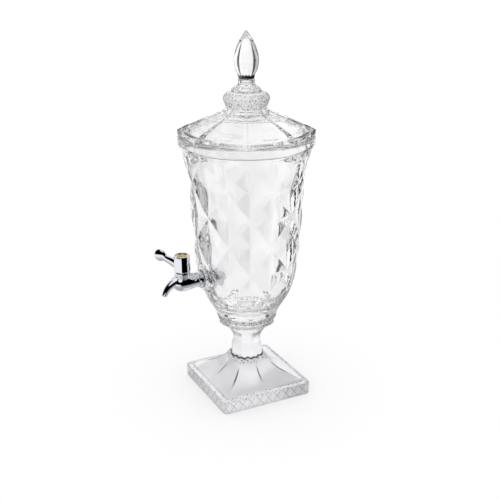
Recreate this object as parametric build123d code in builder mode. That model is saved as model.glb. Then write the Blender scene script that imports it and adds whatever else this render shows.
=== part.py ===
from build123d import *
import math
import os

os.makedirs("parts", exist_ok=True)

# A clear pressed-glass juice dispenser on a square foot, with a loose lid and a chromed tap.
# Millimetres, +Z up, origin at the centre of the foot's underside, the tap towards -Y.
# Azimuths are counted from the tap's side, anticlockwise seen from above.

# Shared values
full_turn = 360.0
quarter_turn = 90.0
seat_gap = 0.3          # room between pieces that come apart or turn
bond_thickness = 0.3    # clear cement between two glass pieces
overrun = 1.0           # how far a cut runs past the face it opens

# Foot
foot_side = 118.0
foot_edge_height = 15.6
foot_corner_radius = 5.0
foot_margin = 5.5
foot_step = 1.4
stem_top_height = 81.1
stem_disc_radius = 23.5
stem_disc_thickness = 6.0
stem_sides = 8
# the flare from the square to the eight-sided stem: height above the foot's step, distance to a side
flare_height_shares = [0.0, 0.10, 0.20, 0.345, 0.462]
flare_radius_shares = [1.0, 0.79, 0.61, 0.47, 0.375]
stem_height_shares = [0.574, 0.735, 0.886, 1.0]
stem_radius_shares = [0.85, 0.745, 0.79, 0.98]

# Bowl
rim_radius = 80.0
rim_height = 323.6
rim_flare_height = 16.0    # from the lattice's top ring to the rim
lattice_columns = 8
lozenge_depth = 3.4
lattice_radius_shares = [0.462, 0.688, 0.776, 0.812, 0.838, 0.864, 0.948]
lattice_depth_shares = [0.0, 0.75, 1.0, 1.0, 1.0, 0.85, 0.0]
bowl_wall = 8.0
floor_rise = 5.0           # the inside floor above the lattice's lowest ring
heel_wall = 4.0
heel_sweep = 17.0
heel_rise = 9.5
rim_wall = 8.5
lip_height = 9.0
lip_round = 2.5
lip_cover = 0.3
base_ring_inset = 1.0       # the base ring's corners inside the lattice's lowest corners
base_ring_chamfer = 4.5
base_ring_sides = 8
base_ring_angle = 40.8
base_ring_height = 7.0
base_stud_count = 24
base_stud_band = 8.7
base_stud_inset = 3.0
base_stud_height = 2.0

# Lid
lid_sides = 8
lid_angle = 63.3
lid_edge_thickness = 6.4
lid_wall = 6.0
lid_shoulder_inset = 4.0
lid_ring_depth = 4.5
lid_ring_wall = 5.0
lid_ring_clearance = 1.2
lid_slope_radius_shares = [0.90, 0.78, 0.65, 0.535, 0.40, 0.35, 0.30]
lid_slope_height_shares = [0.142, 0.27, 0.443, 0.557, 0.747, 0.838, 1.0]
lid_slope_height = 25.3

# Knop on the lid
knop_radius = 26.8
knop_height = 18.2
knop_studs = 20
knop_stud_height = 1.5
knop_height_shares = [0.0, 0.12, 0.3, 0.5, 0.7, 0.88, 1.0]
knop_radius_shares = [0.86, 0.895, 0.955, 1.0, 1.0, 0.90, 0.79]
knop_stud_shares = [0.0, 0.0, 1.0, 1.0, 1.0, 0.0, 0.0]

# Finial
finial_disc_radius = 18.6
finial_disc_thickness = 2.6
finial_disc_slope = 4.4
finial_disc_angle = 40.8
finial_neck_radius = 10.0
finial_neck_height = 7.0
# a lower ring, a waist and an upper ring
finial_neck_height_shares = [0.0, 0.3, 0.5, 1.0]
finial_neck_radius_shares = [1.0, 0.88, 0.97]
finial_drop_height = 53.0
finial_drop_radius = 14.6
finial_sides = 6
finial_angle = 32.8
drop_height_shares = [0.0, 0.06, 0.18, 0.39, 0.60, 0.72, 0.84, 0.94, 1.0]
drop_radius_shares = [0.62, 0.67, 0.86, 1.0, 0.86, 0.71, 0.48, 0.24, 0.10]

# Tap hole and its pads on the glass
tap_height = 155.6
tap_hole_clearance = 0.5
outer_pad_margin = 3.7      # glass round the outer washer
outer_pad_rise = 0.66       # the outer pad's face past the wall at the tap's height
inner_pad_margin = 2.7
pad_thickness = 11.5

# Tap fixing
shank_radius = 8.0
shank_clearance = 0.1
shank_length = 29.7
inlet_radius = 4.0
washer_radius = 10.8
washer_thickness = 2.2
flange_inset = 0.4          # the flange inside the washer's edge
flange_thickness = 3.0
flange_edge_round = 1.0
slip_washer_thickness = 1.2
nut_across_flats = 22.0
nut_sides = 6
nut_thickness = 6.5
nut_chamfer = 1.0

# Tap body
barrel_length = 19.9        # from the flange to the tower's axis
barrel_neck_radius = 8.4
barrel_neck_length = 5.0
belly_radius = 10.8
shoulder_radius = 9.8
shoulder_rise = 14.5        # above the tap hole's axis
neck_radius = 7.4
neck_height = 7.0
plug_chamber_radius = 5.0
plug_chamber_depth = 7.6    # below the tap hole's axis
spout_bend_radius = 23.5
spout_start_rise = 3.0
spout_start_share = 0.14
spout_angle = 70.0
spout_root_radius = 7.2
spout_tip_radius = 3.6
spout_bore_radius = 2.5
spout_section_count = 6

# Valve
shaft_clearance = 0.05
plug_bottom_gap = 0.3
plug_port_radius = 3.0
plug_ring_section = 0.8
lower_ring_drop = 5.2       # from the port's axis
upper_ring_rise = 6.5
bonnet_thickness = 3.0
plug_stem_radius = 3.4
drive_side = 5.6
drive_clearance = 0.05
plug_tap_depth = 12.0

# Lever
lever_azimuth = -45.0
hood_overhang = 0.15
hood_taper = 0.65
hood_height = 19.2
hood_web_clearance = 0.7
hood_web_thickness = 3.4
hood_rim_width = 1.3
hood_edge_round = 0.5
arm_root_sink = 0.9         # how deep the arm starts inside the hood's wall
paddle_reach = 27.7
paddle_drop = 3.0           # the paddle's centre below the hood's top
paddle_radius = 7.6
paddle_half_thickness = 3.6
paddle_flat_radius = 2.0
arm_reach_shares = [0.0, 0.16, 0.34, 0.56, 0.80]
arm_centre_shares = [0.0, 0.25, 0.36, 0.58, 0.86]
arm_root_rise = 7.4         # above the hood's lower edge
arm_half_height_shares = [1.0, 0.86, 0.72, 0.66, 0.74]
arm_root_half_height = 7.2
arm_half_width_shares = [1.0, 0.93, 0.86, 0.82, 0.9]
arm_root_half_width = 2.9

# Lever screw, its washer and the insert in the hood
spring_washer_radius = 3.7
spring_washer_thickness = 0.7
spring_washer_split = 0.5
screw_radius = 1.5
screw_head_radius = 3.4
screw_head_height = 2.4
screw_slot_width = 0.9
screw_slot_depth = 1.1
insert_height = 4.0
insert_bore_clearance = 0.9
insert_slope = 1.2

# Derived places
base_ring_bottom = stem_top_height + stem_disc_thickness + bond_thickness
ring_plane_bottom = base_ring_bottom + base_ring_chamfer
base_ring_top = base_ring_bottom + base_ring_height
lattice_bottom = base_ring_top + base_stud_band
lattice_top = rim_height - rim_flare_height
lattice_row_gap = (lattice_top - lattice_bottom) / (len(lattice_radius_shares) - 1)
lattice_heights = [lattice_bottom + lattice_row_gap * row for row in range(len(lattice_radius_shares))]
lattice_radii = [rim_radius * share for share in lattice_radius_shares]
lattice_depths = [lozenge_depth * share for share in lattice_depth_shares]
base_ring_radius = lattice_radii[0] - base_ring_inset
base_stud_radius = lattice_radii[0] - base_stud_inset
bowl_floor = lattice_bottom + floor_rise
heel_height = bowl_floor + heel_rise
heel_radius = lattice_radii[0] - heel_wall
floor_radius = heel_radius - heel_sweep
mouth_radius = rim_radius - rim_wall
lip_base = rim_height - lip_height
lid_radius = rim_radius
lid_bottom = rim_height + seat_gap
lid_edge_top = lid_bottom + lid_edge_thickness
knop_bottom = lid_edge_top + lid_slope_height
knop_top = knop_bottom + knop_height
disc_bottom = knop_top + bond_thickness
finial_neck_base = disc_bottom + finial_disc_thickness + finial_disc_slope
drop_bottom = finial_neck_base + finial_neck_height
tap_row = int((tap_height - lattice_bottom) / lattice_row_gap)
tap_row_share = (tap_height - lattice_heights[tap_row]) / lattice_row_gap
tap_row_step = lattice_radii[tap_row + 1] - lattice_radii[tap_row]
outer_pad_face = lattice_radii[tap_row] + tap_row_step * tap_row_share + outer_pad_rise
inner_pad_face = outer_pad_face - pad_thickness
outer_pad_radius = washer_radius + outer_pad_margin
inner_pad_radius = washer_radius + inner_pad_margin
tap_hole_radius = shank_radius + tap_hole_clearance
flange_radius = washer_radius - flange_inset
outer_washer_face = outer_pad_face + washer_thickness
flange_face = outer_washer_face + flange_thickness
shank_end = flange_face - shank_length
tower_reach = flange_face + barrel_length
inner_washer_face = inner_pad_face - washer_thickness
slip_washer_face = inner_washer_face - slip_washer_thickness
nut_face = slip_washer_face - nut_thickness
shank_bore = shank_radius + shank_clearance
shoulder_top = tap_height + shoulder_rise
neck_top = shoulder_top + neck_height
plug_chamber_floor = tap_height - plug_chamber_depth
lower_ring_height = tap_height - lower_ring_drop
upper_ring_height = tap_height + upper_ring_rise
bonnet_top = neck_top + bonnet_thickness
plug_tap_radius = screw_radius + shaft_clearance
hood_bottom = shoulder_top + seat_gap
hood_top = hood_bottom + hood_height
hood_base_radius = shoulder_radius + hood_overhang
hood_top_radius = hood_base_radius - hood_taper
hood_bore_radius = neck_radius + seat_gap
hood_recess_radius = hood_top_radius - hood_rim_width
hood_web_bottom = bonnet_top + hood_web_clearance
web_top = hood_web_bottom + hood_web_thickness
drive_hole = drive_side + 2 * drive_clearance
arm_root = hood_top_radius - arm_root_sink
arm_root_height = hood_bottom + arm_root_rise
paddle_height = hood_top - paddle_drop
insert_bore_radius = screw_head_radius + insert_bore_clearance
plug_radius = plug_chamber_radius - shaft_clearance
tower_base = Plane((0, -tower_reach, 0))


def ring_point(radius, azimuth, height):
    """A point at a plan radius and azimuth from the dispenser's axis."""
    turn = math.radians(azimuth)
    return Vector(radius * math.sin(turn), -radius * math.cos(turn), height)


def flat_face(points):
    """A plane face on a closed run of points."""
    return Face(Wire.make_polygon(points))


def lattice_solid(heights, radii, depths, columns):
    """A closed solid of triangles. Ridges cross at every other corner of each ring, and the corner
    in the middle of each lozenge lies its depth below the ridges, or above them if negative."""
    corners = 2 * columns
    step = full_turn / corners
    rings = []
    for row, height in enumerate(heights):
        ring = []
        for corner in range(corners):
            on_ridge = (corner + row) % 2 == 1
            radius = radii[row] if on_ridge else radii[row] - depths[row]
            ring.append(ring_point(radius, step * corner, height))
        rings.append(ring)
    faces = [flat_face(rings[0]), flat_face(rings[-1])]
    for row in range(len(rings) - 1):
        low = rings[row]
        high = rings[row + 1]
        for here in range(corners):
            there = (here + 1) % corners
            if (here + row) % 2 == 1:
                faces.append(flat_face([low[here], low[there], high[there]]))
                faces.append(flat_face([low[here], high[there], high[here]]))
            else:
                faces.append(flat_face([low[here], low[there], high[here]]))
                faces.append(flat_face([low[there], high[there], high[here]]))
    return Solid(Shell(faces))


def prism_stack(heights, radii, sides, turn):
    """Ruled bands between regular polygons, one above the other. Radii are to the corners."""
    with BuildPart() as stack:
        for height, radius in zip(heights, radii):
            with BuildSketch(Plane.XY.offset(height)):
                RegularPolygon(radius, sides, rotation=turn - quarter_turn)
        loft(ruled=True)
    return stack.part


def tap_plane(face):
    """The plane square to the tap hole's axis at a distance from the bowl's axis, facing outwards."""
    return Plane((0, -face, tap_height), x_dir=(1, 0, 0), z_dir=(0, -1, 0))


def y_ring(face, length, outer, inner):
    """A plain ring about the tap hole's axis. It starts at a distance from the bowl's axis."""
    with BuildPart() as ring:
        with BuildSketch(tap_plane(face)):
            Circle(outer)
            Circle(inner, mode=Mode.SUBTRACT)
        extrude(amount=length)
    return ring.part


# Foot: square slab, stepped margin, flare and eight-sided stem in one glass pressing
step_side = foot_side - 2 * foot_margin
flare_bottom = foot_edge_height + foot_step
flare_rise = stem_top_height - flare_bottom
flare_heights = [flare_bottom + flare_rise * share for share in flare_height_shares]
flare_radii = [step_side / 2 * share for share in flare_radius_shares]
stem_heights = [flare_bottom + flare_rise * share for share in stem_height_shares]
stem_radii = [stem_disc_radius * share for share in stem_radius_shares]
eighth_turn = full_turn / stem_sides


def flare_ring(level):
    """Eight corners of one level of the flare, from the square's corners to an even octagon."""
    height = flare_heights[level]
    side_reach = flare_radii[level]
    squareness = 1 - level / (len(flare_heights) - 1)
    corner_reach = side_reach * (1 + (math.sqrt(2) - 1) * squareness)
    ring = []
    for corner in range(stem_sides):
        reach = side_reach if corner % 2 == 0 else corner_reach
        ring.append(ring_point(reach, eighth_turn * corner, height))
    return ring


def flare_solid():
    """The flare as plane triangles, with an arris to each corner and each side's middle."""
    rings = [flare_ring(level) for level in range(len(flare_heights))]
    for height, radius in zip(stem_heights, stem_radii):
        ring = [ring_point(radius, eighth_turn * corner, height) for corner in range(stem_sides)]
        rings.append(ring)
    faces = [flat_face(rings[0]), flat_face(rings[-1])]
    for low, high in zip(rings[:-1], rings[1:]):
        for here in range(stem_sides):
            there = (here + 1) % stem_sides
            if here % 2 == 0:
                faces.append(flat_face([low[here], low[there], high[here]]))
                faces.append(flat_face([low[there], high[there], high[here]]))
            else:
                faces.append(flat_face([low[here], low[there], high[there]]))
                faces.append(flat_face([low[here], high[there], high[here]]))
    return Solid(Shell(faces))


with BuildPart() as foot:
    with BuildSketch():
        Rectangle(foot_side, foot_side)
    extrude(amount=foot_edge_height)
    fillet(foot.edges().filter_by(Axis.Z), foot_corner_radius)
    with BuildSketch(Plane.XY.offset(foot_edge_height)):
        Rectangle(step_side, step_side)
    extrude(amount=foot_step)
    add(flare_solid())
    with BuildSketch(Plane.XY.offset(stem_top_height)):
        Circle(stem_disc_radius)
    extrude(amount=stem_disc_thickness)
foot.part.label = "foot"
export_step(foot.part, "parts/foot.step")

# Cement disc between the stem and the bowl
with BuildPart() as foot_bond:
    with BuildSketch(Plane.XY.offset(stem_top_height + stem_disc_thickness)):
        Circle(stem_disc_radius)
    extrude(amount=bond_thickness)
foot_bond.part.label = "foot_bond"
export_step(foot_bond.part, "parts/foot_bond.step")

# Bowl
cavity_points = [
    (radius - bowl_wall, height) for radius, height in zip(lattice_radii[1:], lattice_heights[1:])
]

with BuildPart() as bowl:
    add(lattice_solid(lattice_heights, lattice_radii, lattice_depths, lattice_columns))
    with BuildSketch(Plane.XY.offset(ring_plane_bottom)):
        RegularPolygon(base_ring_radius, base_ring_sides, rotation=base_ring_angle - quarter_turn)
    extrude(amount=base_ring_top - ring_plane_bottom)
    add(
        prism_stack(
            [base_ring_bottom, ring_plane_bottom],
            [base_ring_radius - base_ring_chamfer, base_ring_radius],
            base_ring_sides,
            base_ring_angle,
        )
    )
    # band of pointed studs above the base ring
    add(
        lattice_solid(
            [base_ring_top, (base_ring_top + lattice_bottom) / 2, lattice_bottom],
            [base_stud_radius, base_stud_radius, base_stud_radius],
            [0, -base_stud_height, 0],
            base_stud_count,
        )
    )
    # flared lip
    with BuildSketch(Plane.XZ):
        with BuildLine():
            Line((0, lattice_top), (lattice_radii[-1] + lip_cover, lattice_top))
            Line((lattice_radii[-1] + lip_cover, lattice_top), (rim_radius, lip_base))
            Line((rim_radius, lip_base), (rim_radius, rim_height - lip_round))
            RadiusArc(
                (rim_radius, rim_height - lip_round),
                (rim_radius - lip_round, rim_height),
                -lip_round,
            )
            Line((rim_radius - lip_round, rim_height), (0, rim_height))
            Line((0, rim_height), (0, lattice_top))
        make_face()
    revolve(axis=Axis.Z)
    # flat pad for the tap's outer washer, with clear room in front of it
    with BuildSketch(tap_plane(outer_pad_face)):
        Circle(outer_pad_radius)
    extrude(amount=-pad_thickness)
    with BuildSketch(tap_plane(outer_pad_face)):
        Circle(outer_pad_radius)
    extrude(amount=barrel_length, mode=Mode.SUBTRACT)
    # inside
    with BuildSketch(Plane.XZ):
        with BuildLine():
            Line((0, bowl_floor), (floor_radius, bowl_floor))
            Spline(
                (floor_radius, bowl_floor),
                (heel_radius, heel_height),
                *cavity_points,
                tangents=[(1, 0.0), (rim_radius - lattice_radii[-2], rim_height - lattice_heights[-2])],
            )
            Line(cavity_points[-1], (mouth_radius, lip_base))
            Line((mouth_radius, lip_base), (mouth_radius, rim_height + overrun))
            Line((mouth_radius, rim_height + overrun), (0, rim_height + overrun))
            Line((0, rim_height + overrun), (0, bowl_floor))
        make_face()
    revolve(axis=Axis.Z, mode=Mode.SUBTRACT)
    # flat pad for the inner washer, clear room for the washers and the nut, then the hole
    with BuildSketch(tap_plane(inner_pad_face)):
        Circle(inner_pad_radius)
    extrude(amount=pad_thickness)
    with BuildSketch(tap_plane(shank_end)):
        Circle(inner_pad_radius)
    extrude(amount=inner_pad_face - shank_end, mode=Mode.SUBTRACT)
    with BuildSketch(tap_plane(inner_pad_face - overrun)):
        Circle(tap_hole_radius)
    extrude(amount=pad_thickness + 2 * overrun, mode=Mode.SUBTRACT)
bowl.part.label = "bowl"
export_step(bowl.part, "parts/bowl.step")
print("bowl solids", len(bowl.part.solids()), "volume", round(bowl.part.volume))

# Lid: eight-sided cover with a locating ring underneath and a studded knop on top
lid_heights = [lid_edge_top]
lid_heights += [lid_edge_top + lid_slope_height * share for share in lid_slope_height_shares]
lid_radii = [lid_radius] + [lid_radius * share for share in lid_slope_radius_shares]
lid_ring_radius = mouth_radius - lid_ring_clearance
hollow_radius = lid_ring_radius - lid_ring_wall
hollow_bottom = lid_bottom - lid_ring_depth - overrun
knop_heights = [knop_bottom + knop_height * share for share in knop_height_shares]
knop_radii = [knop_radius * share for share in knop_radius_shares]
knop_depths = [-knop_stud_height * share for share in knop_stud_shares]

with BuildPart() as lid:
    with BuildSketch(Plane.XY.offset(lid_bottom)):
        RegularPolygon(lid_radius, lid_sides, rotation=lid_angle - quarter_turn)
    extrude(amount=lid_edge_thickness)
    add(prism_stack(lid_heights, lid_radii, lid_sides, lid_angle))
    add(lattice_solid(knop_heights, knop_radii, knop_depths, knop_studs))
    # locating ring in the bowl's mouth
    with BuildSketch(Plane.XY.offset(lid_bottom - lid_ring_depth)):
        Circle(lid_ring_radius)
    extrude(amount=lid_ring_depth)
    # hollow underside
    with BuildSketch(Plane.XZ):
        with BuildLine():
            Line((0, hollow_bottom), (hollow_radius, hollow_bottom))
            Line((hollow_radius, hollow_bottom), (hollow_radius, lid_bottom))
            Spline(
                (hollow_radius, lid_bottom),
                (lid_radii[2] - lid_shoulder_inset, lid_heights[2] - lid_wall),
                (lid_radii[4], lid_heights[4] - lid_wall),
                (0, lid_heights[5] - lid_wall),
                tangents=[(-1, 1), (-1, 0)],
            )
            Line((0, lid_heights[5] - lid_wall), (0, hollow_bottom))
        make_face()
    revolve(axis=Axis.Z, mode=Mode.SUBTRACT)
lid.part.label = "lid"
export_step(lid.part, "parts/lid.step")
print("lid solids", len(lid.part.solids()), "volume", round(lid.part.volume))

# Cement disc between the knop and the finial
corner_to_flat = math.cos(math.radians(eighth_turn / 2))
disc_flat_radius = finial_disc_radius * corner_to_flat
with BuildPart() as finial_bond:
    with BuildSketch(Plane.XY.offset(knop_top)):
        Circle(disc_flat_radius)
    extrude(amount=bond_thickness)
finial_bond.part.label = "finial_bond"
export_step(finial_bond.part, "parts/finial_bond.step")

# Finial: eight-sided disc with a sloping top, ringed neck and six-sided drop
drop_heights = [drop_bottom + finial_drop_height * share for share in drop_height_shares]
drop_radii = [finial_drop_radius * share for share in drop_radius_shares]
with BuildPart() as finial:
    with BuildSketch(Plane.XY.offset(disc_bottom)):
        RegularPolygon(finial_disc_radius, lid_sides, rotation=finial_disc_angle - quarter_turn)
    extrude(amount=finial_disc_thickness)
    add(
        prism_stack(
            [disc_bottom + finial_disc_thickness, finial_neck_base],
            [finial_disc_radius, finial_neck_radius / corner_to_flat],
            lid_sides,
            finial_disc_angle,
        )
    )
    for low_share, high_share, radius_share in zip(
        finial_neck_height_shares[:-1], finial_neck_height_shares[1:], finial_neck_radius_shares
    ):
        with BuildSketch(Plane.XY.offset(finial_neck_base + finial_neck_height * low_share)):
            Circle(finial_neck_radius * radius_share)
        extrude(amount=finial_neck_height * (high_share - low_share))
    for height, radius in zip(drop_heights, drop_radii):
        with BuildSketch(Plane.XY.offset(height)):
            RegularPolygon(radius, finial_sides, rotation=finial_angle - quarter_turn)
    loft(ruled=True)
finial.part.label = "finial"
export_step(finial.part, "parts/finial.step")
print("finial solids", len(finial.part.solids()))

# Tap body: barrel, belly, shoulder, neck, spout and threaded shank in one casting
spout_start = Vector(0, -tower_reach - spout_start_share * belly_radius, tap_height + spout_start_rise)


def spout_plane(turn):
    """The plane square to the spout's arc after a turn in degrees from level."""
    angle = math.radians(turn)
    along = spout_bend_radius * math.sin(angle)
    drop = spout_bend_radius * (1 - math.cos(angle))
    origin = (0, spout_start.Y - along, spout_start.Z - drop)
    return Plane(origin, x_dir=(1, 0, 0), z_dir=(0, -math.cos(angle), -math.sin(angle)))


tap_axis_plane = Plane((0, 0, tap_height), x_dir=(0, -1, 0), z_dir=(1, 0, 0))

with BuildPart() as tap_body:
    # barrel and belly, turned about the tap hole's axis
    with BuildSketch(tap_axis_plane):
        with BuildLine():
            Line((flange_face, 0), (flange_face, barrel_neck_radius))
            Line(
                (flange_face, barrel_neck_radius),
                (flange_face + barrel_neck_length, barrel_neck_radius),
            )
            Spline(
                (flange_face + barrel_neck_length, barrel_neck_radius),
                (tower_reach, belly_radius),
                tangents=[(1, 0.0), (1, 0.0)],
            )
            RadiusArc((tower_reach, belly_radius), (tower_reach + belly_radius, 0), belly_radius)
            Line((tower_reach + belly_radius, 0), (flange_face, 0))
        make_face()
    revolve(axis=Axis((0, 0, tap_height), (0, 1, 0)))
    # shoulder and neck under the lever's hood
    with BuildSketch(tower_base.offset(tap_height)):
        Circle(shoulder_radius)
    extrude(amount=shoulder_top - tap_height)
    with BuildSketch(tower_base.offset(shoulder_top)):
        Circle(neck_radius)
    extrude(amount=neck_top - shoulder_top)
    # spout, a run of circles that shrink along the arc
    for section in range(spout_section_count):
        share = section / (spout_section_count - 1)
        with BuildSketch(spout_plane(spout_angle * share)):
            Circle(spout_root_radius + (spout_tip_radius - spout_root_radius) * share)
    loft()
    # threaded shank at its outer diameter
    with BuildSketch(tap_plane(shank_end)):
        Circle(shank_radius)
    extrude(amount=shank_length)
    # inlet bore, plug chamber and outlet bore
    with BuildSketch(tap_plane(shank_end - overrun)):
        Circle(inlet_radius)
    extrude(amount=tower_reach - shank_end + overrun, mode=Mode.SUBTRACT)
    with BuildSketch(tower_base.offset(plug_chamber_floor)):
        Circle(plug_chamber_radius)
    extrude(amount=neck_top - plug_chamber_floor + overrun, mode=Mode.SUBTRACT)
    for section in range(spout_section_count):
        share = section / (spout_section_count - 1)
        with BuildSketch(spout_plane(spout_angle * share)):
            Circle(spout_bore_radius)
    loft(mode=Mode.SUBTRACT)
tap_body.part.label = "tap_body"
export_step(tap_body.part, "parts/tap_body.step")
print("tap_body solids", len(tap_body.part.solids()), "volume", round(tap_body.part.volume))

# Flange ring against the outer washer
with BuildPart() as tap_flange:
    add(y_ring(outer_washer_face, flange_thickness, flange_radius, shank_bore))
    fillet(tap_flange.faces().sort_by(Axis.Y)[0].edges().sort_by(SortBy.LENGTH)[-1], flange_edge_round)
tap_flange.part.label = "tap_flange"
export_step(tap_flange.part, "parts/tap_flange.step")

# Washers on both sides of the glass
for washer_name, washer_face, washer_length in [
    ("outer_washer", outer_pad_face, washer_thickness),
    ("inner_washer", inner_washer_face, washer_thickness),
    ("slip_washer", slip_washer_face, slip_washer_thickness),
]:
    washer = y_ring(washer_face, washer_length, washer_radius, shank_bore)
    washer.label = washer_name
    export_step(washer, "parts/" + washer_name + ".step")

# Hexagon nut inside the bowl
with BuildPart() as back_nut:
    with BuildSketch(tap_plane(nut_face)):
        RegularPolygon(nut_across_flats / 2, nut_sides, major_radius=False)
        Circle(shank_bore, mode=Mode.SUBTRACT)
    extrude(amount=nut_thickness)
    with BuildSketch(tap_axis_plane, mode=Mode.PRIVATE) as nut_profile:
        with BuildLine():
            corner_radius = nut_across_flats / math.sqrt(3)
            Polyline(
                (nut_face, 0),
                (nut_face, corner_radius - nut_chamfer),
                (nut_face + nut_chamfer, corner_radius),
                (slip_washer_face - nut_chamfer, corner_radius),
                (slip_washer_face, corner_radius - nut_chamfer),
                (slip_washer_face, 0),
                close=True,
            )
        make_face()
    revolve(nut_profile.sketch, axis=Axis((0, 0, tap_height), (0, 1, 0)), mode=Mode.INTERSECT)
back_nut.part.label = "back_nut"
export_step(back_nut.part, "parts/back_nut.step")

# Valve plug: grooved body with a cross port, stem and square drive. It turns with the lever.
plug_bottom = plug_chamber_floor + plug_bottom_gap
plug_body_top = neck_top - shaft_clearance
drive_top = web_top - shaft_clearance
ring_groove_radius = plug_chamber_radius - 2 * shaft_clearance - 2 * plug_ring_section
ring_centre_radius = plug_radius - plug_ring_section
groove_height = 2 * plug_ring_section + 2 * shaft_clearance

with BuildPart() as valve_plug:
    with BuildSketch(tower_base.offset(plug_bottom)):
        Circle(plug_radius)
    extrude(amount=plug_body_top - plug_bottom)
    with BuildSketch(tower_base.offset(plug_body_top)):
        Circle(plug_stem_radius)
    extrude(amount=bonnet_top - plug_body_top)
    with BuildSketch(tower_base.offset(bonnet_top)):
        Rectangle(drive_side, drive_side, rotation=lever_azimuth)
    extrude(amount=drive_top - bonnet_top)
    for groove_centre in (lower_ring_height, upper_ring_height):
        with BuildSketch(tower_base.offset(groove_centre - groove_height / 2)):
            Circle(plug_radius + overrun)
            Circle(ring_groove_radius, mode=Mode.SUBTRACT)
        extrude(amount=groove_height, mode=Mode.SUBTRACT)
    port_side = math.radians(lever_azimuth)
    port_direction = (math.sin(port_side), -math.cos(port_side), 0)
    with BuildSketch(Plane((0, -tower_reach, tap_height), z_dir=port_direction)):
        Circle(plug_port_radius)
    extrude(amount=plug_radius + overrun, both=True, mode=Mode.SUBTRACT)
    with BuildSketch(tower_base.offset(drive_top)):
        Circle(plug_tap_radius)
    extrude(amount=-plug_tap_depth, mode=Mode.SUBTRACT)
valve_plug.part.label = "valve_plug"
export_step(valve_plug.part, "parts/valve_plug.step")
print("valve_plug solids", len(valve_plug.part.solids()))

# Two sealing rings in the plug's grooves
for ring_name, ring_height in [
    ("plug_ring_lower", lower_ring_height),
    ("plug_ring_upper", upper_ring_height),
]:
    with BuildPart(tower_base.offset(ring_height)) as plug_ring:
        Torus(ring_centre_radius, plug_ring_section)
    plug_ring.part.label = ring_name
    export_step(plug_ring.part, "parts/" + ring_name + ".step")

# Bonnet ring that holds the plug down
with BuildPart() as bonnet:
    with BuildSketch(tower_base.offset(neck_top)):
        Circle(neck_radius)
        Circle(plug_stem_radius + shaft_clearance, mode=Mode.SUBTRACT)
    extrude(amount=bonnet_thickness)
bonnet.part.label = "bonnet"
export_step(bonnet.part, "parts/bonnet.step")

# Lever: hood, arm and round paddle in one casting
lever_turn = math.radians(lever_azimuth)
lever_out = Vector(math.sin(lever_turn), -math.cos(lever_turn), 0)
lever_side = Vector(math.cos(lever_turn), math.sin(lever_turn), 0)
tower_centre = Vector(0, -tower_reach, 0)


def arm_plane(reach, height):
    """The plane square to the arm at a reach from the tower's axis."""
    origin = tower_centre + lever_out * reach + Vector(0, 0, height)
    return Plane(origin, x_dir=lever_side, z_dir=lever_out)


with BuildPart() as tap_lever:
    for height, radius in [(hood_bottom, hood_base_radius), (hood_top, hood_top_radius)]:
        with BuildSketch(tower_base.offset(height)):
            Circle(radius)
    loft()
    fillet(tap_lever.edges().filter_by(GeomType.CIRCLE), hood_edge_round)
    # bore over the neck, square for the drive, recess for screw and insert
    with BuildSketch(tower_base.offset(hood_bottom - overrun)):
        Circle(hood_bore_radius)
    extrude(amount=hood_web_bottom - hood_bottom + overrun, mode=Mode.SUBTRACT)
    with BuildSketch(tower_base.offset(hood_web_bottom - overrun)):
        Rectangle(drive_hole, drive_hole, rotation=lever_azimuth)
    extrude(amount=hood_web_thickness + 2 * overrun, mode=Mode.SUBTRACT)
    with BuildSketch(tower_base.offset(web_top)):
        Circle(hood_recess_radius)
    extrude(amount=hood_top - web_top + overrun, mode=Mode.SUBTRACT)
    # arm, a run of ellipses out from the hood
    arm_length = paddle_reach - arm_root
    arm_rise = paddle_height - arm_root_height
    for reach_share, centre_share, tall_share, wide_share in zip(
        arm_reach_shares, arm_centre_shares, arm_half_height_shares, arm_half_width_shares
    ):
        reach = arm_root + arm_length * reach_share
        with BuildSketch(arm_plane(reach, arm_root_height + arm_rise * centre_share)):
            Ellipse(arm_root_half_width * wide_share, arm_root_half_height * tall_share)
    loft()
    # paddle, a domed disc turned about the axis across the arm
    paddle_centre = tower_centre + lever_out * paddle_reach + Vector(0, 0, paddle_height)
    with BuildSketch(Plane(paddle_centre, x_dir=lever_side, z_dir=lever_out)):
        with BuildLine():
            Polyline(
                (-paddle_half_thickness, paddle_flat_radius),
                (-paddle_half_thickness, 0),
                (paddle_half_thickness, 0),
                (paddle_half_thickness, paddle_flat_radius),
            )
            Spline(
                (-paddle_half_thickness, paddle_flat_radius),
                (0, paddle_radius),
                (paddle_half_thickness, paddle_flat_radius),
                tangents=[(0.0, 1), (0.0, -1)],
            )
        make_face()
    revolve(axis=Axis(paddle_centre, lever_side))
tap_lever.part.label = "tap_lever"
export_step(tap_lever.part, "parts/tap_lever.step")
print("tap_lever solids", len(tap_lever.part.solids()), "volume", round(tap_lever.part.volume))

# Split spring washer under the screw's head
with BuildPart() as spring_washer:
    with BuildSketch(tower_base.offset(web_top)):
        Circle(spring_washer_radius)
        Circle(plug_tap_radius, mode=Mode.SUBTRACT)
        with Locations((spring_washer_radius, 0)):
            Rectangle(2 * spring_washer_radius, spring_washer_split, mode=Mode.SUBTRACT)
    extrude(amount=spring_washer_thickness)
spring_washer.part.label = "spring_washer"
export_step(spring_washer.part, "parts/spring_washer.step")

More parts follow.
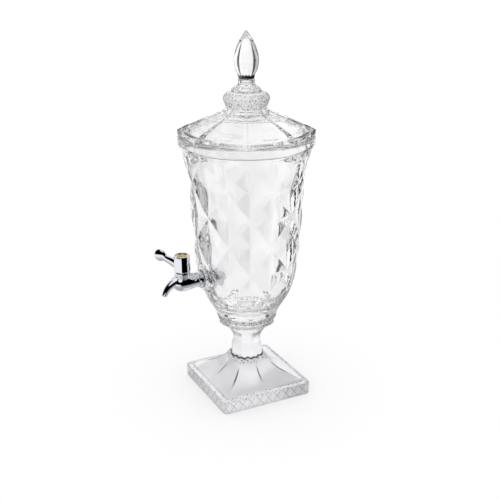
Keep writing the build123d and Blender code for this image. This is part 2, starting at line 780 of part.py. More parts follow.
# Slotted screw that clamps the hood on the plug
screw_head_bottom = web_top + spring_washer_thickness
with BuildPart() as lever_screw:
    with BuildSketch(tower_base.offset(screw_head_bottom)):
        Circle(screw_head_radius)
    extrude(amount=screw_head_height)
    with BuildSketch(tower_base.offset(screw_head_bottom)):
        Circle(screw_radius)
    extrude(amount=-(plug_tap_depth - overrun))
    with BuildSketch(tower_base.offset(screw_head_bottom + screw_head_height - screw_slot_depth)):
        Rectangle(2 * screw_head_radius + 2 * overrun, screw_slot_width)
    extrude(amount=screw_slot_depth + overrun, mode=Mode.SUBTRACT)
lever_screw.part.label = "lever_screw"
export_step(lever_screw.part, "parts/lever_screw.step")

# Gold-coloured insert that fills the recess round the screw's head
insert_radius = hood_recess_radius - shaft_clearance
with BuildPart() as hood_insert:
    with BuildSketch(tower_base.offset(web_top)):
        Circle(insert_radius)
    extrude(amount=insert_height)
    with BuildSketch(tower_base.offset(web_top)):
        Circle(insert_bore_radius)
    extrude(amount=insert_height + overrun, mode=Mode.SUBTRACT)
    chamfer(
        hood_insert.faces().sort_by(Axis.Z)[-1].edges().sort_by(SortBy.LENGTH)[0],
        insert_slope,
    )
hood_insert.part.label = "hood_insert"
export_step(hood_insert.part, "parts/hood_insert.step")
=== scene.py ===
import bpy
import math
import numpy as np
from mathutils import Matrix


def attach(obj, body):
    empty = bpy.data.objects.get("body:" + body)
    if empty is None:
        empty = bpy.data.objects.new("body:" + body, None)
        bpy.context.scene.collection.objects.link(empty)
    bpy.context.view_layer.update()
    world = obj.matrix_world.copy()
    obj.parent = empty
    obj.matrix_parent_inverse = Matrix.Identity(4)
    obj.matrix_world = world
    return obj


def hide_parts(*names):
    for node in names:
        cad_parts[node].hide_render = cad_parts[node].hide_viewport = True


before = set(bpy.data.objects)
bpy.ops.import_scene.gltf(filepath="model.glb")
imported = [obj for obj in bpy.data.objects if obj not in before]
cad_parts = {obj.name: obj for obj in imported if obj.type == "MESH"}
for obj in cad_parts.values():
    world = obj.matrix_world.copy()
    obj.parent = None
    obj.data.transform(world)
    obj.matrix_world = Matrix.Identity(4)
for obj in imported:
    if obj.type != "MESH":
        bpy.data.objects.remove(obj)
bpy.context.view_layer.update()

mm = 0.001
turn = 2 * math.pi
tapOut, tapSide = (0.0, -1.0, 0.0), (1.0, 0.0, 0.0)      # the way the tap points, and square to it
scene = bpy.context.scene
print("frame loaded,", len(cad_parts), "nodes")


# Surfaces on a grid
def roundAngles(columns, start=0.0):
    # evenly spaced angles all the way round
    return start + turn * np.arange(columns) / columns


def ringPoints(radius, angle, height):
    # x = radius times the sine of the angle, y = minus radius times its cosine, so angle 0 is the tap's side
    x = radius * np.sin(angle)
    y = -radius * np.cos(angle)
    z = height + 0 * x
    return np.stack([x, y, z], axis=-1) * mm


def easyCurve(points, count):
    # a smooth run through the points: cubic pieces over the chord length, each with its neighbours' slopes
    points = np.array(points, float)
    chord = np.r_[0, np.cumsum(np.linalg.norm(np.diff(points, axis=0), axis=1))]
    slopes = np.gradient(points, chord, axis=0)
    where = np.linspace(0, chord[-1], count)
    piece = np.clip(np.searchsorted(chord, where) - 1, 0, len(chord) - 2)
    span = (chord[piece + 1] - chord[piece])[:, None]
    t = (where[:, None] - chord[piece][:, None]) / span
    start, end = points[piece], points[piece + 1]
    out, into = slopes[piece] * span, slopes[piece + 1] * span
    cubic, square = t ** 3, t ** 2
    return (start * (2 * cubic - 3 * square + 1) + out * (cubic - 2 * square + t)
            + end * (3 * square - 2 * cubic) + into * (cubic - square))


def roundedRun(corners, rounds, step):
    # straight runs between corners, each corner cut by an arc of its own radius that takes up less than
    # half of either run, with a point at least every step
    corners = [np.array(corner, float) for corner in corners]
    run = [corners[0]]
    for before, corner, after, size in zip(corners[:-2], corners[1:-1], corners[2:], rounds):
        back, ahead = before - corner, after - corner
        toBack, toAhead = back / np.linalg.norm(back), ahead / np.linalg.norm(ahead)
        half = math.acos(np.clip(toBack @ toAhead, -1, 1)) / 2
        longest = 0.45 * min(np.linalg.norm(back), np.linalg.norm(ahead))
        reach = min(size / math.tan(half), longest)
        t = np.linspace(0, 1, 5)[:, None]
        first, last = corner + toBack * reach, corner + toAhead * reach
        run.extend(first * (1 - t) ** 2 + corner * 2 * t * (1 - t) + last * t ** 2)
    run.append(corners[-1])
    dense = [run[0]]
    for low, high in zip(run[:-1], run[1:]):
        pieces = max(1, math.ceil(np.linalg.norm(high - low) / step))
        dense.extend(low + (high - low) * part / pieces for part in range(1, pieces + 1))
    return np.array(dense)


def evenSides(angle, sides, corner, cut=0.0, swell=0.0):
    # a regular polygon's radius over its corner radius; cut takes that share off each corner with a flat
    # bevel, and swell mixes in a circle so that the sides bulge a little
    wedge = turn / sides
    offset = (angle - corner) % wedge - wedge / 2
    flat = math.cos(wedge / 2) / np.cos(offset)
    flat = flat + (1 - flat) * swell
    return np.minimum(flat, (1 - cut) / np.cos(wedge / 2 - np.abs(offset)))


def alongPath(centres, directions, side, wide, tall, columns):
    # each row is an ellipse round its centre and square to its direction: half width along side, which
    # stays the same, and half height square to both
    angle = roundAngles(columns)
    across = np.array(side, float)
    upward = np.cross(directions, across)
    wide, tall = np.array(wide, float)[:, None, None], np.array(tall, float)[:, None, None]
    sine, cosine = np.sin(angle)[None, :, None], np.cos(angle)[None, :, None]
    offset = wide * sine * across - tall * cosine * upward[:, None, :]
    return (np.array(centres, float)[:, None, :] + offset) * mm


def turned(run, origin, direction, side, columns):
    # a profile of radius and height turned about the line through origin along direction: each row is a
    # circle of that radius, at the origin plus the height times the direction
    run, direction = np.array(run, float), np.array(direction, float)
    centres = np.array(origin, float) + run[:, 1:] * direction
    return alongPath(centres, np.tile(direction, (len(run), 1)), side, run[:, 0], run[:, 0], columns)


def shellFaces(points, split=None):
    # rows run from the first pole outwards and up, columns run round. Each cell is a quad, or two
    # triangles where split gives a diagonal: 1 along rows and columns, -1 across.
    rows, columns = points.shape[:2]
    middle = rows - 2
    i, j = np.meshgrid(np.arange(middle - 1), np.arange(columns), indexing="ij")
    after = (j + 1) % columns
    a, b = i * columns + j, i * columns + after
    c, d = (i + 1) * columns + after, (i + 1) * columns + j
    if split is None:
        split = np.zeros(i.shape, int)
    faces = np.stack([a, b, c, d], -1)[split == 0].tolist()
    faces += np.stack([a, b, c], -1)[split == 1].tolist() + np.stack([a, c, d], -1)[split == 1].tolist()
    faces += np.stack([a, b, d], -1)[split == -1].tolist() + np.stack([b, c, d], -1)[split == -1].tolist()
    poles = np.stack([points[0].mean(axis=0), points[-1].mean(axis=0)])
    flat = np.concatenate([points[1:-1].reshape(-1, 3), poles])
    low, high = len(flat) - 2, len(flat) - 1
    here = np.arange(columns)
    there = (here + 1) % columns
    top = (middle - 1) * columns
    faces += np.stack([there, here, np.full(columns, low)], -1).tolist()
    faces += np.stack([top + here, top + there, np.full(columns, high)], -1).tolist()
    return flat, faces


def meshObject(name, corners, faces):
    # a new object in the scene, with a mesh of its own
    mesh = bpy.data.meshes.new(name)
    mesh.from_pydata(corners, [], faces)
    mesh.update()
    made = bpy.data.objects.new(name, mesh)
    scene.collection.objects.link(made)
    return made


def gridPiece(name, shells, body, material, split=None):
    # one object from one or more closed shells, each a grid of rows by columns by xyz
    corners, faces = [], []
    for points in shells:
        flat, made = shellFaces(points, split)
        faces += [[index + len(corners) for index in face] for face in made]
        corners += flat.tolist()
    piece = meshObject(name, corners, faces)
    piece.data.polygons.foreach_set("use_smooth", np.ones(len(faces), bool))
    piece.data.materials.append(material)
    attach(piece, body)
    return piece


# Shader boards
class Wire:
    # a socket that takes part in sums: each operator adds one Math node
    def __init__(self, board, socket):
        self.board = board
        self.socket = socket

    def __add__(self, other):
        return self.board.work("ADD", self, other)

    def __sub__(self, other):
        return self.board.work("SUBTRACT", self, other)

    def __mul__(self, other):
        return self.board.work("MULTIPLY", self, other)

    def __rsub__(self, other):
        return self.board.work("SUBTRACT", other, self)

    __radd__ = __add__
    __rmul__ = __mul__

    def ramp(self, low, high):
        # 0 below low, 1 above high, and a soft step between
        settings = {"interpolation_type": "SMOOTHSTEP"}
        return self.board.add("MapRange", settings, {"Value": self, "From Min": low, "From Max": high})


class Board:
    # the node tree of one material or of the world
    def __init__(self, owner):
        owner.use_nodes = True
        self.owner = owner
        self.tree = owner.node_tree
        self.tree.nodes.clear()

    def add(self, kind, settings=None, sockets=None, output=0):
        node = self.tree.nodes.new("ShaderNode" + kind)
        for key, value in (settings or {}).items():
            setattr(node, key, value)
        for key, value in (sockets or {}).items():
            if isinstance(value, Wire):
                self.tree.links.new(value.socket, node.inputs[key])
            else:
                node.inputs[key].default_value = value
        return Wire(self, node.outputs[output]) if len(node.outputs) else node

    def work(self, operation, *values):
        # one Math node
        return self.add("Math", {"operation": operation}, dict(enumerate(values)))

    def parts(self, vector):
        # the three numbers of a place or a direction
        return [self.add("SeparateXYZ", {}, {"Vector": vector}, output) for output in range(3)]

    def place(self):
        return self.add("TexCoord", output="Object")

    def noise(self, place, scale, detail=2.0):
        return self.add("TexNoise", {}, {"Vector": place, "Scale": scale, "Detail": detail, "Roughness": 0.5})

    def bump(self, height, distance):
        return self.add("Bump", {}, {"Height": height, "Distance": distance, "Strength": 1.0})

    def mixColour(self, share, low, high):
        return self.add("Mix", {"data_type": "RGBA"}, {0: share, 6: low, 7: high}, 2)

    def grey(self, tone):
        return self.mixColour(tone, (0, 0, 0, 1), (1, 1, 1, 1))

    def close(self, sockets):
        shader = self.add("BsdfPrincipled", {}, sockets)
        self.add("OutputMaterial", {}, {"Surface": shader})
        return self.owner


# Looks: scales are per metre, depths in metres, and pairs are where a soft step starts and ends
glassLook = {
    "ior": 1.5, "peelTimes": 6, "peelShare": 0.15,
    "cloudScale": 18.0, "cloudEdge": (0.45, 0.7), "cloudHaze": 0.012,
}
chromeLook = {
    "plate": (0.80, 0.81, 0.86, 1), "handled": (0.72, 0.73, 0.78, 1), "gloss": 0.03, "handledHaze": 0.05,
    "waveScale": 60.0, "waveDepth": 0.00008, "hazeScale": 140.0, "hazeEdge": (0.5, 0.75),
}
metalLook = {
    "bandTimes": 12.0, "bandDepth": 0.00003, "patchTimes": 0.4, "patchEdge": (0.35, 0.7), "patchHaze": 0.15,
}
rubberLook = {
    "grainScale": 900.0, "grainDepth": 0.00002, "bloomScale": 90.0, "bloomEdge": (0.4, 0.8),
    "bloomPale": 0.06, "bloomHaze": 0.1,
}


def clearGlass(name, tint, rippleScale, rippleDepth, haze=0.0, paintGlints=None):
    # fire-polished pressed glass: a slow ripple and a fine orange peel, with faint cloudy patches of gloss.
    # the last argument gives the tone, from 0 to 1, of painted dark glints: dark refractions and reflections
    # of sharp pressed details, painted into the glass's colour.
    board = Board(bpy.data.materials.new(name))
    place = board.place()
    colour = tint
    if paintGlints:
        # painted dark refractions and reflections, mixed into the base colour toward near black
        colour = board.mixColour(paintGlints(board, place), tint, paintedGlint["dark"])
    slow = board.noise(place, rippleScale)
    fine = board.noise(place, rippleScale * glassLook["peelTimes"])
    cloud = board.noise(place, glassLook["cloudScale"]).ramp(*glassLook["cloudEdge"])
    return board.close({
        "Base Color": colour,
        "Transmission Weight": 1.0,
        "IOR": glassLook["ior"],
        "Roughness": haze + cloud * glassLook["cloudHaze"],
        "Normal": board.bump(slow + fine * glassLook["peelShare"], rippleDepth),
    })


def chromePlate(name):
    # bright plate over a cast body: a slight waviness, faint haze where fingers turn the lever
    board = Board(bpy.data.materials.new(name))
    place = board.place()
    wave = board.noise(place, chromeLook["waveScale"])
    haze = board.noise(place, chromeLook["hazeScale"], 4.0).ramp(*chromeLook["hazeEdge"])
    return board.close({
        "Base Color": board.mixColour(haze, chromeLook["plate"], chromeLook["handled"]),
        "Metallic": 1.0,
        "Roughness": chromeLook["gloss"] + haze * chromeLook["handledHaze"],
        "Normal": board.bump(wave, chromeLook["waveDepth"]),
    })


def turnedMetal(name, colour, dull, scale, gloss=0.18):
    # turned or rolled metal: fine bands round the piece and a mottled gloss
    board = Board(bpy.data.materials.new(name))
    place = board.place()
    stretched = board.add("Mapping", {}, {"Vector": place, "Scale": (1.0, 1.0, metalLook["bandTimes"])})
    bands = board.noise(stretched, scale, 3.0)
    patch = board.noise(place, scale * metalLook["patchTimes"]).ramp(*metalLook["patchEdge"])
    return board.close({
        "Base Color": board.mixColour(patch, colour, dull),
        "Metallic": 1.0,
        "Roughness": gloss + patch * metalLook["patchHaze"],
        "Normal": board.bump(bands, metalLook["bandDepth"]),
    })


def softRubber(name, colour, gloss, clear=0.0):
    # moulded rubber or silicone: a fine grain and a faint bloom
    board = Board(bpy.data.materials.new(name))
    place = board.place()
    grain = board.noise(place, rubberLook["grainScale"])
    bloom = board.noise(place, rubberLook["bloomScale"]).ramp(*rubberLook["bloomEdge"])
    pale = tuple(min(1.0, part + rubberLook["bloomPale"]) for part in colour[:3]) + (1,)
    return board.close({
        "Transmission Weight": clear,
        "Base Color": board.mixColour(bloom, colour, pale),
        "Roughness": gloss + bloom * rubberLook["bloomHaze"],
        "Normal": board.bump(grain, rubberLook["grainDepth"]),
    })


# Painted dark glints: dark refractions and reflections of sharp pressed details, painted into the glass's
# colour all the way round. Heights are in metres above the table; a band is its low and high edge, how
# soft they are, and how dark it is.
paintedGlint = {
    "dark": (0.01, 0.01, 0.012, 1),
    "speckScale": 330.0, "speckSoft": 0.0005,
    "lipLine": (0.3128, 0.3140, 0.0003, 0.75), "ringLine": (0.0884, 0.0892, 0.0002, 0.5),
    "beadSpecks": (0.0945, 0.1025, 0.40), "knopSpecks": (0.3570, 0.3735, 0.34),
    "crownArches": 18.0, "crownTop": 0.3930, "crownWave": 0.0010, "crownSoft": 0.0003,
    "crownFoot": (0.3880, 0.3884),
    "rootWaves": 16.0, "rootWave": 0.0007, "rootLine": (0.0446, 0.0465, 0.0002, 1.0),
    "rootSpecks": (0.0400, 0.0450, 0.40),
    "arrises": 8.0, "arrisEdge": (0.975, 0.99), "arrisBand": (0.0240, 0.0360, 0.0030, 1.0),
    "rimSpecks": (0.0130, 0.0172, 0.42), "rimShare": 0.8,
    "cutStart": 0.0005, "cutPitch": (0.0118, 0.0146), "cutEdge": (0.90, 0.98),
    "cutBand": (0.0015, 0.0140, 0.0003, 0.6),
}


def heightBand(height, low, high, soft, dark):
    # dark between the two heights and 0 away from them
    return height.ramp(low - soft, low + soft) * (1.0 - height.ramp(high - soft, high + soft)) * dark


def paintedSpecks(board, place, low, high, size):
    # scattered painted dark specks between two heights, standing in for dark refractions of the glass
    height = board.parts(place)[2]
    spot = board.add("TexVoronoi", {}, {"Vector": place, "Scale": paintedGlint["speckScale"]})
    return (1.0 - spot.ramp(size * 0.5, size)) * heightBand(height, low, high, paintedGlint["speckSoft"], 1.0)


def waveRound(board, place, count):
    # the cosine of count times the angle round the bowl's axis, the same angle as in ringPoints
    east, north = board.parts(place)[:2]
    around = board.work("ARCTAN2", east, 0.0 - north)
    return board.work("COSINE", around * count)


def bowlPaintedGlints(board, place):
    # painted dark refractions: specks among the beads, a fine line under the lip and one round the base ring
    height = board.parts(place)[2]
    lines = heightBand(height, *paintedGlint["lipLine"]) + heightBand(height, *paintedGlint["ringLine"])
    return paintedSpecks(board, place, *paintedGlint["beadSpecks"]) + lines


def lidPaintedGlints(board, place):
    # painted dark refractions: specks among the knop's studs
    return paintedSpecks(board, place, *paintedGlint["knopSpecks"])


def finialPaintedGlints(board, place):
    # a painted black crown of small arches where the drop stands on its neck: the drop's dark refraction,
    # painted into the colour
    height = board.parts(place)[2]
    top = paintedGlint["crownTop"] + waveRound(board, place, paintedGlint["crownArches"]) * paintedGlint["crownWave"]
    above = (height - top).ramp(-paintedGlint["crownSoft"], paintedGlint["crownSoft"])
    return (1.0 - above) * height.ramp(*paintedGlint["crownFoot"])


def footPaintedGlints(board, place):
    # painted dark refractions: a wavy line and specks round the root of the stem, short lines down the
    # flare's arrises, specks on the rim, and lines that slant both ways over the slab's sides
    east, north, height = board.parts(place)
    wave = waveRound(board, place, paintedGlint["rootWaves"]) * paintedGlint["rootWave"]
    root = heightBand(height - wave, *paintedGlint["rootLine"]) + paintedSpecks(board, place, *paintedGlint["rootSpecks"])
    arris = waveRound(board, place, paintedGlint["arrises"]).ramp(*paintedGlint["arrisEdge"])
    arris = arris * heightBand(height, *paintedGlint["arrisBand"])
    rim = paintedSpecks(board, place, *paintedGlint["rimSpecks"]) * paintedGlint["rimShare"]
    pitch, rise = paintedGlint["cutPitch"]
    along = (east + north) * (turn / pitch)
    upward = (height - paintedGlint["cutStart"]) * (turn / rise)
    cuts = board.work("MINIMUM", board.work("COSINE", along + upward), board.work("COSINE", along - upward))
    cuts = (0.0 - cuts).ramp(*paintedGlint["cutEdge"]) * heightBand(height, *paintedGlint["cutBand"])
    return root + arris + rim + cuts


# the bowl, lid, foot and finial glass carry painted dark glints: dark refractions and reflections painted
# into their colour
bowlGlass = clearGlass("bowl_glass", (0.97, 0.97, 0.974, 1), 32.0, 0.0006, paintGlints=bowlPaintedGlints)
lidGlass = clearGlass("lid_glass", (0.985, 0.985, 0.99, 1), 30.0, 0.0005, paintGlints=lidPaintedGlints)
footGlass = clearGlass("foot_glass", (0.98, 0.968, 0.99, 1), 34.0, 0.0006, haze=0.28, paintGlints=footPaintedGlints)
finialGlass = clearGlass("finial_glass", (0.985, 0.985, 0.99, 1), 40.0, 0.0003, paintGlints=finialPaintedGlints)
cement = clearGlass("bond_cement", (0.98, 0.98, 0.97, 1), 80.0, 0.0001)
chrome = chromePlate("tap_chrome")
steel = turnedMetal("nut_satin", (0.97, 0.97, 0.98, 1), (0.93, 0.93, 0.95, 1), 220.0, gloss=0.14)
brass = turnedMetal("valve_brass", (0.78, 0.66, 0.38, 1), (0.62, 0.50, 0.28, 1), 260.0)
gold = turnedMetal("insert_gold", (0.90, 0.80, 0.42, 1), (0.74, 0.62, 0.30, 1), 300.0)
silicone = softRubber("washer_silicone", (0.95, 0.95, 0.94, 1), gloss=0.35, clear=0.85)
rubber = softRubber("ring_rubber_black", (0.02, 0.02, 0.02, 1), gloss=0.5)
print("materials made")

# Pieces that keep the solids' own meshes
carried = {
    "foot_bond": cement, "finial_bond": cement, "tap_flange": chrome,
    "back_nut": steel, "slip_washer": steel, "spring_washer": steel, "lever_screw": brass,
    "outer_washer": silicone, "inner_washer": silicone, "plug_ring_lower": rubber, "plug_ring_upper": rubber,
    "valve_plug": brass, "bonnet": brass, "hood_insert": gold,
}
for nodeName, material in carried.items():
    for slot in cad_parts[nodeName].material_slots:
        slot.material = material

# Bowl: base ring, band of beads, diamond lattice, lip and the room inside, in one closed surface
bowl = {
    "columns": 336,               # round, a whole number for each lozenge and each bead
    "lozenges": 8,                # round
    "rowsPerLozenge": 22,         # rows from one row of ridge crossings to the next
    "bottom": 87.37, "ringTop": 94.4, "ringRadius": 35.96, "ringChamfer": 4.5,
    "ringSides": 8, "ringCorner": math.radians(-4.2), "ringRounds": [0.4, 0.5, 0.6], "ringStep": 2.0,
    "beads": 24, "beadRadius": 33.96, "beadHeight": 2.0, "beadRows": 11, "beadInsets": (0.5, 1.6),
    "latticeBottom": 103.1, "latticeTop": 307.6, "rimRadius": 79.95,
    "radiusShares": [0.462, 0.688, 0.776, 0.812, 0.838, 0.864, 0.948],
    "depthShares": [0.0, 0.75, 1.0, 1.0, 1.0, 0.85, 0.0],
    "lozengeDepth": 3.9, "flatShare": 0.85, "finePoints": 400,
    "wall": 8.0, "floor": 108.1, "floorRadius": 16.0, "floorRises": (2.2, 0.6), "heel": (32.96, 117.6),
    "cavityRows": 44, "lipRounds": [1.5, 0.8, 2.4, 1.6], "lipStep": 1.2,
    "lipBottom": 314.6, "rim": 323.6, "mouth": 71.5, "lipUndercut": (76.6, 1.2),
    "tapHeight": 155.6, "outerPad": (59.47, 14.5), "innerPad": (48.03, 13.5),
    "hole": 8.5, "holeEnds": (40.0, 66.0), "holeColumns": 64,
}
ridgeAngle = turn / bowl["lozenges"]    # from one ridge of a family to the next
latticeRows = len(bowl["radiusShares"]) - 1
latticeCount = latticeRows * bowl["rowsPerLozenge"] + 1
rowPlace = np.linspace(0, latticeRows, latticeCount)
knotRadii = np.array(bowl["radiusShares"]) * bowl["rimRadius"]
knotHeights = np.linspace(bowl["latticeBottom"], bowl["latticeTop"], latticeRows + 1)
wallLine = easyCurve(list(zip(knotRadii, knotHeights)), bowl["finePoints"])
latticeHeights = np.linspace(bowl["latticeBottom"], bowl["latticeTop"], latticeCount)
latticeRadii = np.interp(latticeHeights, wallLine[:, 1], wallLine[:, 0])
latticeDepths = bowl["lozengeDepth"] * np.interp(
    rowPlace, np.arange(latticeRows + 1), bowl["depthShares"])


def lozengeRelief(row, angle):
    # two families of slanting ridges cross each other. The distance to the nearest ridge of each family
    # runs from 0 to 1; the hollow is mostly a pyramid and partly a smooth bowl.
    first = angle / ridgeAngle + row / 2 + 0.5
    second = angle / ridgeAngle - row / 2 + 0.5
    nearFirst = 2 * np.abs(first - np.round(first))
    nearSecond = 2 * np.abs(second - np.round(second))
    pyramid = np.minimum(nearFirst, nearSecond)
    hollow = np.sin(nearFirst * math.pi / 2) * np.sin(nearSecond * math.pi / 2)
    flatShare = bowl["flatShare"]
    return flatShare * pyramid + (1 - flatShare) * hollow, nearFirst < nearSecond


def bowlSurface():
    # the profile goes from the middle underneath out and up, over the lip, and down inside to the floor
    columns = bowl["columns"]
    angle = roundAngles(columns)
    ring, chamfer = bowl["ringRadius"], bowl["ringChamfer"]
    ringLow, ringHigh = bowl["bottom"], bowl["ringTop"]
    insetLow, insetHigh = bowl["beadInsets"]
    base = roundedRun(
        [(0, ringLow), (ring - chamfer, ringLow), (ring, ringLow + chamfer), (ring, ringHigh),
         (bowl["beadRadius"] - insetLow, ringHigh)], bowl["ringRounds"], bowl["ringStep"])
    baseRadius = base[:, :1] * evenSides(angle, bowl["ringSides"], bowl["ringCorner"])
    beadRows = np.linspace(0, 1, bowl["beadRows"] + 2)[1:-1, None]
    pitch = turn / bowl["beads"]
    across = ((angle % pitch) / pitch - 0.5) * 2
    upward = beadRows * 2 - 1
    swell = np.sqrt(np.maximum(0, 1 - across ** 2 - upward ** 2))
    beadBase = np.interp(beadRows, [0, 1], [bowl["beadRadius"], latticeRadii[0] - insetHigh])
    beads = beadBase + bowl["beadHeight"] * swell
    relief = lozengeRelief(rowPlace[:, None], angle)[0]
    lattice = latticeRadii[:, None] - latticeDepths[:, None] * relief
    undercut, drop = bowl["lipUndercut"]
    mouth, rimRadius = bowl["mouth"], bowl["rimRadius"]
    lipLow, lipHigh = bowl["lipBottom"], bowl["rim"]
    lip = roundedRun(
        [(latticeRadii[-1], bowl["latticeTop"]), (undercut, lipLow - drop), (rimRadius, lipLow),
         (rimRadius, lipHigh), (mouth, lipHigh), (mouth, lipLow)], bowl["lipRounds"], bowl["lipStep"])[1:]
    inside = list(zip(knotRadii[1:] - bowl["wall"], knotHeights[1:]))
    floor, floorRadius = bowl["floor"], bowl["floorRadius"]
    edgeRise, halfwayRise = bowl["floorRises"]
    cavity = easyCurve(
        [(mouth, lipLow)] + inside[::-1]
        + [bowl["heel"], (floorRadius, floor + edgeRise), (floorRadius / 2, floor + halfwayRise), (0, floor)],
        bowl["cavityRows"])[1:]
    one = np.ones_like(angle)
    radii = np.concatenate([baseRadius, beads, lattice, lip[:, :1] * one, cavity[:, :1] * one])
    beadHeights = ringHigh + (bowl["latticeBottom"] - ringHigh) * beadRows[:, 0]
    heights = np.concatenate([base[:, 1], beadHeights, latticeHeights, lip[:, 1], cavity[:, 1]])[:, None]
    points = ringPoints(radii, angle, heights)
    # flat pads round the tap hole, outside and inside
    fromAxis = np.hypot(points[..., 0], points[..., 2] - bowl["tapHeight"] * mm)
    outer = np.arange(len(radii))[:, None] < len(radii) - len(cavity)
    for (face, size), outside in ((bowl["outerPad"], True), (bowl["innerPad"], False)):
        chosen = (fromAxis < size * mm) & (points[..., 1] < 0) & (outer == outside)
        points[chosen, 1] = -face * mm
    # a lattice cell is split along its own hollow's slope, read off at the middle of the cell
    split = np.zeros((len(radii) - 3, columns), int)
    start = len(base) + len(beads) - 1
    cellRow = rowPlace[:-1, None] + 0.5 / bowl["rowsPerLozenge"]
    cells = lozengeRelief(cellRow, angle + turn / columns / 2)[1]
    split[start:start + latticeCount - 1] = np.where(cells, -1, 1)
    return points, split


points, split = bowlSurface()
bowlPiece = gridPiece("bowl_glass", [points], "vessel", bowlGlass, split)
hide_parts("bowl")


def drillTapHole(piece):
    # a round hole through the wall, cut with a short bar along the tap hole's axis
    low, high = bowl["holeEnds"]
    run = [(0, low), (bowl["hole"], low), (bowl["hole"], high), (0, high)]
    bar = turned(run, (0, 0, bowl["tapHeight"]), tapOut, tapSide, bowl["holeColumns"])
    corners, faces = shellFaces(bar)
    cutter = meshObject("hole_bar", corners.tolist(), faces)
    cut = piece.modifiers.new("hole", "BOOLEAN")
    cut.operation = "DIFFERENCE"
    cut.solver = "EXACT"
    cut.object = cutter
    shown = piece.evaluated_get(bpy.context.evaluated_depsgraph_get())
    whole = bpy.data.meshes.new_from_object(shown)
    before, bar = piece.data, cutter.data
    piece.modifiers.clear()
    piece.data = whole
    piece.data.name = "bowl_glass"
    bpy.data.objects.remove(cutter)
    for mesh in (before, bar):
        bpy.data.meshes.remove(mesh)


drillTapHole(bowlPiece)
print("bowl made,", len(bowlPiece.data.polygons), "faces")

# Lid: eight-sided cover with its locating ring and studded knop
lid = {
    "columns": 352, "sides": 8, "corner": math.radians(63.3), "radius": 80.0,
    "bottom": 323.9, "edge": 6.4, "slope": 25.3,    # the flat edge, and the slope's rise above it
    "slopeRadii": [0.90, 0.78, 0.65, 0.535, 0.40, 0.35, 0.30],
    "slopeHeights": [0.142, 0.27, 0.443, 0.557, 0.747, 0.838, 1.0],
    # the locating ring's radius, depth and wall, and how far the hollow rises above the bottom
    "ring": (70.3, 4.5, 5.0), "dome": 26.5, "hollowRows": 44, "slopeRows": 34, "shoulder": (4.0, 1.4),
    "rimRounds": [1.2, 1.2, 0.5, 0.8, 1.0], "rimStep": 1.5, "hollowSides": 3.0, "rimSides": 2.0,
    "arrisWidth": 0.05, "arrisRise": 0.45,
    "knopRadius": 26.8, "knopHeight": 18.23, "finePoints": 200,
    "studs": 40, "studRows": 5, "studHeight": 1.3, "studSize": 0.90, "rowsPerStud": 8, "topRows": 5,
    "knopHeights": [0.0, 0.12, 0.3, 0.5, 0.7, 0.88, 1.0],
    "knopRadii": [0.86, 0.895, 0.955, 1.0, 1.0, 0.90, 0.79],
}


